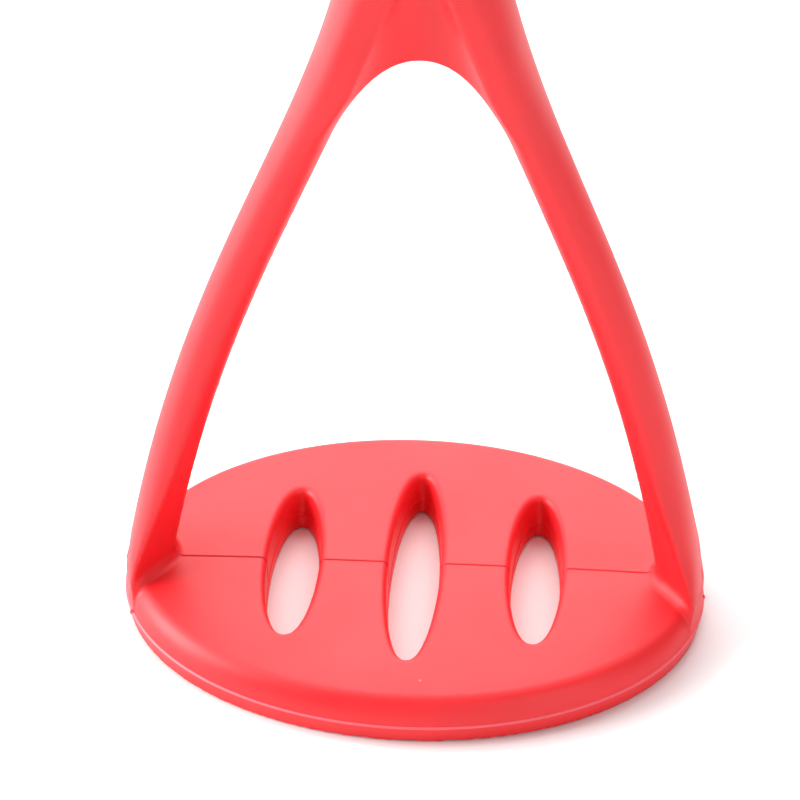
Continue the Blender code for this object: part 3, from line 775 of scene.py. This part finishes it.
def steel(name, colour, roughness, stretch, depth=0.000006):
    """Steel with a drawn or turned grain, finest along the axes stretched most, and faint smudges."""
    made, tree, shader = new_material(name)
    grain = noise(tree, 1.0, 6.0, stretch)
    smudge = noise(tree, 120.0, 3.0)
    darker = tuple(channel * 0.8 for channel in colour)
    tint = mix(tree, remap(tree, smudge, 0.35, 0.7, 0.0, 1.0), (*darker, 1), (*colour, 1))
    tree.links.new(tint, shader.inputs["Base Color"])
    rough = remap(tree, grain, 0.3, 0.7, roughness - 0.06, roughness + 0.08)
    rough = math_node(tree, "ADD", rough, remap(tree, smudge, 0.4, 0.7, 0.0, 0.06))
    tree.links.new(rough, shader.inputs["Roughness"])
    bump(tree, shader, grain, depth)
    shader.inputs["Metallic"].default_value = 1.0
    return made


def weld_metal(name):
    """A ground weld bead: ripples and heat-tinted patches."""
    made, tree, shader = new_material(name)
    ripple = noise(tree, 900.0, 4.0)
    heat = noise(tree, 260.0, 2.0)
    heated = remap(tree, heat, 0.35, 0.65, 0.0, 1.0)
    tint = mix(tree, heated, (0.42, 0.36, 0.30, 1), (0.56, 0.56, 0.58, 1))
    tree.links.new(tint, shader.inputs["Base Color"])
    tree.links.new(remap(tree, ripple, 0.3, 0.7, 0.38, 0.6), shader.inputs["Roughness"])
    bump(tree, shader, ripple, 0.00008)
    shader.inputs["Metallic"].default_value = 1.0
    return made


def nylon(name):
    """Dark moulded nylon: matte, faintly pebbled, with glass-fibre streaks up its length."""
    made, tree, shader = new_material(name)
    fibre = noise(tree, 1.0, 4.0, (1800, 1800, 160))
    streak = remap(tree, fibre, 0.4, 0.7, 0.0, 1.0)
    tint = mix(tree, streak, (0.022, 0.022, 0.024, 1), (0.05, 0.05, 0.052, 1))
    tree.links.new(tint, shader.inputs["Base Color"])
    tree.links.new(remap(tree, noise(tree, 300.0, 3.0), 0.3, 0.7, 0.5, 0.68), shader.inputs["Roughness"])
    bump(tree, shader, noise(tree, 1500.0, 2.0), 0.00002)
    return made


def dress(obj, finish):
    obj.data.materials.clear()
    obj.data.materials.append(finish)


# ---- Studio ----

# The camera looks at its target from that azimuth and elevation. FOCAL_RATIO is lens over sensor width
CAMERA_ELEVATION = math.radians(36.0)
CAMERA_AZIMUTH = math.radians(3.19)
CAMERA_ROLL = math.radians(0.70)
CAMERA_DISTANCE_M = 0.700
CAMERA_TARGET = Vector((-0.00291, 0.0, 0.04252))
FOCAL_RATIO = 5.20975


def add_camera():
    azimuth, elevation = CAMERA_AZIMUTH, CAMERA_ELEVATION
    back = Vector(
        (
            math.sin(azimuth) * math.cos(elevation),
            -math.cos(azimuth) * math.cos(elevation),
            math.sin(elevation),
        )
    )
    level_right = (-back).cross(Vector((0, 0, 1))).normalized()
    level_up = level_right.cross(-back)
    right = level_right * math.cos(CAMERA_ROLL) + level_up * math.sin(CAMERA_ROLL)
    up = level_up * math.cos(CAMERA_ROLL) - level_right * math.sin(CAMERA_ROLL)
    data = bpy.data.cameras.new("camera")
    data.sensor_width = 36.0
    data.lens = data.sensor_width * FOCAL_RATIO
    data.clip_start = 0.01
    camera = bpy.data.objects.new("camera", data)
    bpy.context.scene.collection.objects.link(camera)
    rotation = Matrix((right, up, back)).transposed()
    position = Matrix.Translation(CAMERA_TARGET + back * CAMERA_DISTANCE_M)
    camera.matrix_world = position @ rotation.to_4x4()
    bpy.context.scene.camera = camera


# Softboxes round the object: (name, degrees from the camera's side towards +X, elevation, watts)
LIGHT_RING_CENTRE = Vector((0, 0, 0.05))
LIGHT_DISTANCE_M = 1.2
LIGHT_SIZE_M = 0.9
LIGHTS = [
    ("left_key", 270, 22, 24.0),
    ("left_back", 225, 22, 2.0),
    ("back", 180, 22, 6.0),
    ("high_back", 180, 55, 7.6),
    ("high_left_back", 240, 55, 6.0),
    ("high_right_back", 120, 55, 2.4),
    ("front_fill", 0, 22, 1.4),
    ("right_fill", 45, 22, 5.4),
    ("top", 0, 89, 2.6),
]

# The world is near black to the object and white to the camera
WORLD_LIGHT = 0.04
WORLD_SEEN = 1.05
FLOOR_HALF_M = 3.0
FLOOR_DROP_M = 0.0002


def add_light(name, azimuth, elevation, power):
    turn, lift = math.radians(azimuth), math.radians(elevation)
    away = Vector((math.sin(turn) * math.cos(lift), -math.cos(turn) * math.cos(lift), math.sin(lift)))
    data = bpy.data.lights.new(name, "AREA")
    data.shape = "SQUARE"
    data.size = LIGHT_SIZE_M
    data.energy = power
    light = bpy.data.objects.new(name, data)
    light.location = LIGHT_RING_CENTRE + away * LIGHT_DISTANCE_M
    light.rotation_euler = (-away).to_track_quat("-Z", "Y").to_euler()
    bpy.context.scene.collection.objects.link(light)


def add_world():
    world = bpy.data.worlds.new("studio")
    world.use_nodes = True
    tree = world.node_tree
    background = tree.nodes["Background"]
    background.inputs["Color"].default_value = (1, 1, 1, 1)
    seen = node(tree, "ShaderNodeLightPath").outputs["Is Camera Ray"]
    strength = remap(tree, seen, 0.0, 1.0, WORLD_LIGHT, WORLD_SEEN)
    tree.links.new(strength, background.inputs["Strength"])
    bpy.context.scene.world = world
    bpy.context.scene.view_settings.view_transform = "Standard"


def add_floor():
    """A pale matte floor just under the plate's flat base."""
    mesh = bpy.data.meshes.new("floor")
    half = FLOOR_HALF_M
    corners = [(-half, -half), (half, -half), (half, half), (-half, half)]
    mesh.from_pydata([(x, y, -FLOOR_DROP_M) for x, y in corners], [], [(0, 1, 2, 3)])
    floor = bpy.data.objects.new("floor", mesh)
    bpy.context.scene.collection.objects.link(floor)
    finish, tree, shader = new_material("pale_floor")
    paper = remap(tree, noise(tree, 8.0, 2.0), 0.3, 0.7, 0.915, 0.925)
    tree.links.new(paper, shader.inputs["Base Color"])
    shader.inputs["Roughness"].default_value = 0.9
    mesh.materials.append(finish)


def add_studio():
    add_world()
    for light in LIGHTS:
        add_light(*light)
    add_floor()


# ---- Assembly ----


def add_piece(piece, finish, replaced):
    dress(piece, finish)
    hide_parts(replaced)
    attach(piece, "root")


def dress_inner_nodes():
    """Materials for the CAD's own meshes, which stay as the pieces inside the head and the handle."""
    sheet = steel("core_sheet_steel", (0.55, 0.56, 0.58), 0.42, (60, 2600, 2600))
    drawn = steel("drawn_rod_steel", (0.60, 0.60, 0.62), 0.34, (2400, 2400, 60))
    turned = steel("pin_steel", (0.64, 0.64, 0.65), 0.3, (90, 2400, 2400))
    bead = weld_metal("weld_bead")
    core = nylon("core_nylon")
    finishes = {
        "core_plate": sheet,
        "yoke_gusset": sheet,
        "rod_crimp_sleeve": sheet,
        "left_leg_rod": drawn,
        "right_leg_rod": drawn,
        "left_foot_weld": bead,
        "right_foot_weld": bead,
        "lower_cross_pin": turned,
        "upper_cross_pin": turned,
        "cap_pin": turned,
        "handle_core": core,
    }
    for name, finish in finishes.items():
        dress(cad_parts[name], finish)


def main():
    head_red = silicone("red_silicone", RED, 0.48, seam_shade=0.3)
    grip_red = silicone("grip_silicone", RED, 0.52)
    brushed = steel("brushed_trim_steel", (0.70, 0.70, 0.71), 0.27, (60, 60, 5200))
    add_piece(build_head(), head_red, "head_overmould")
    add_piece(build_grip(), grip_red, "handle_grip")
    add_piece(build_collar(), brushed, "neck_collar")
    add_piece(build_cap(), brushed, "end_cap")
    dress_inner_nodes()
    add_studio()
    add_camera()


main()
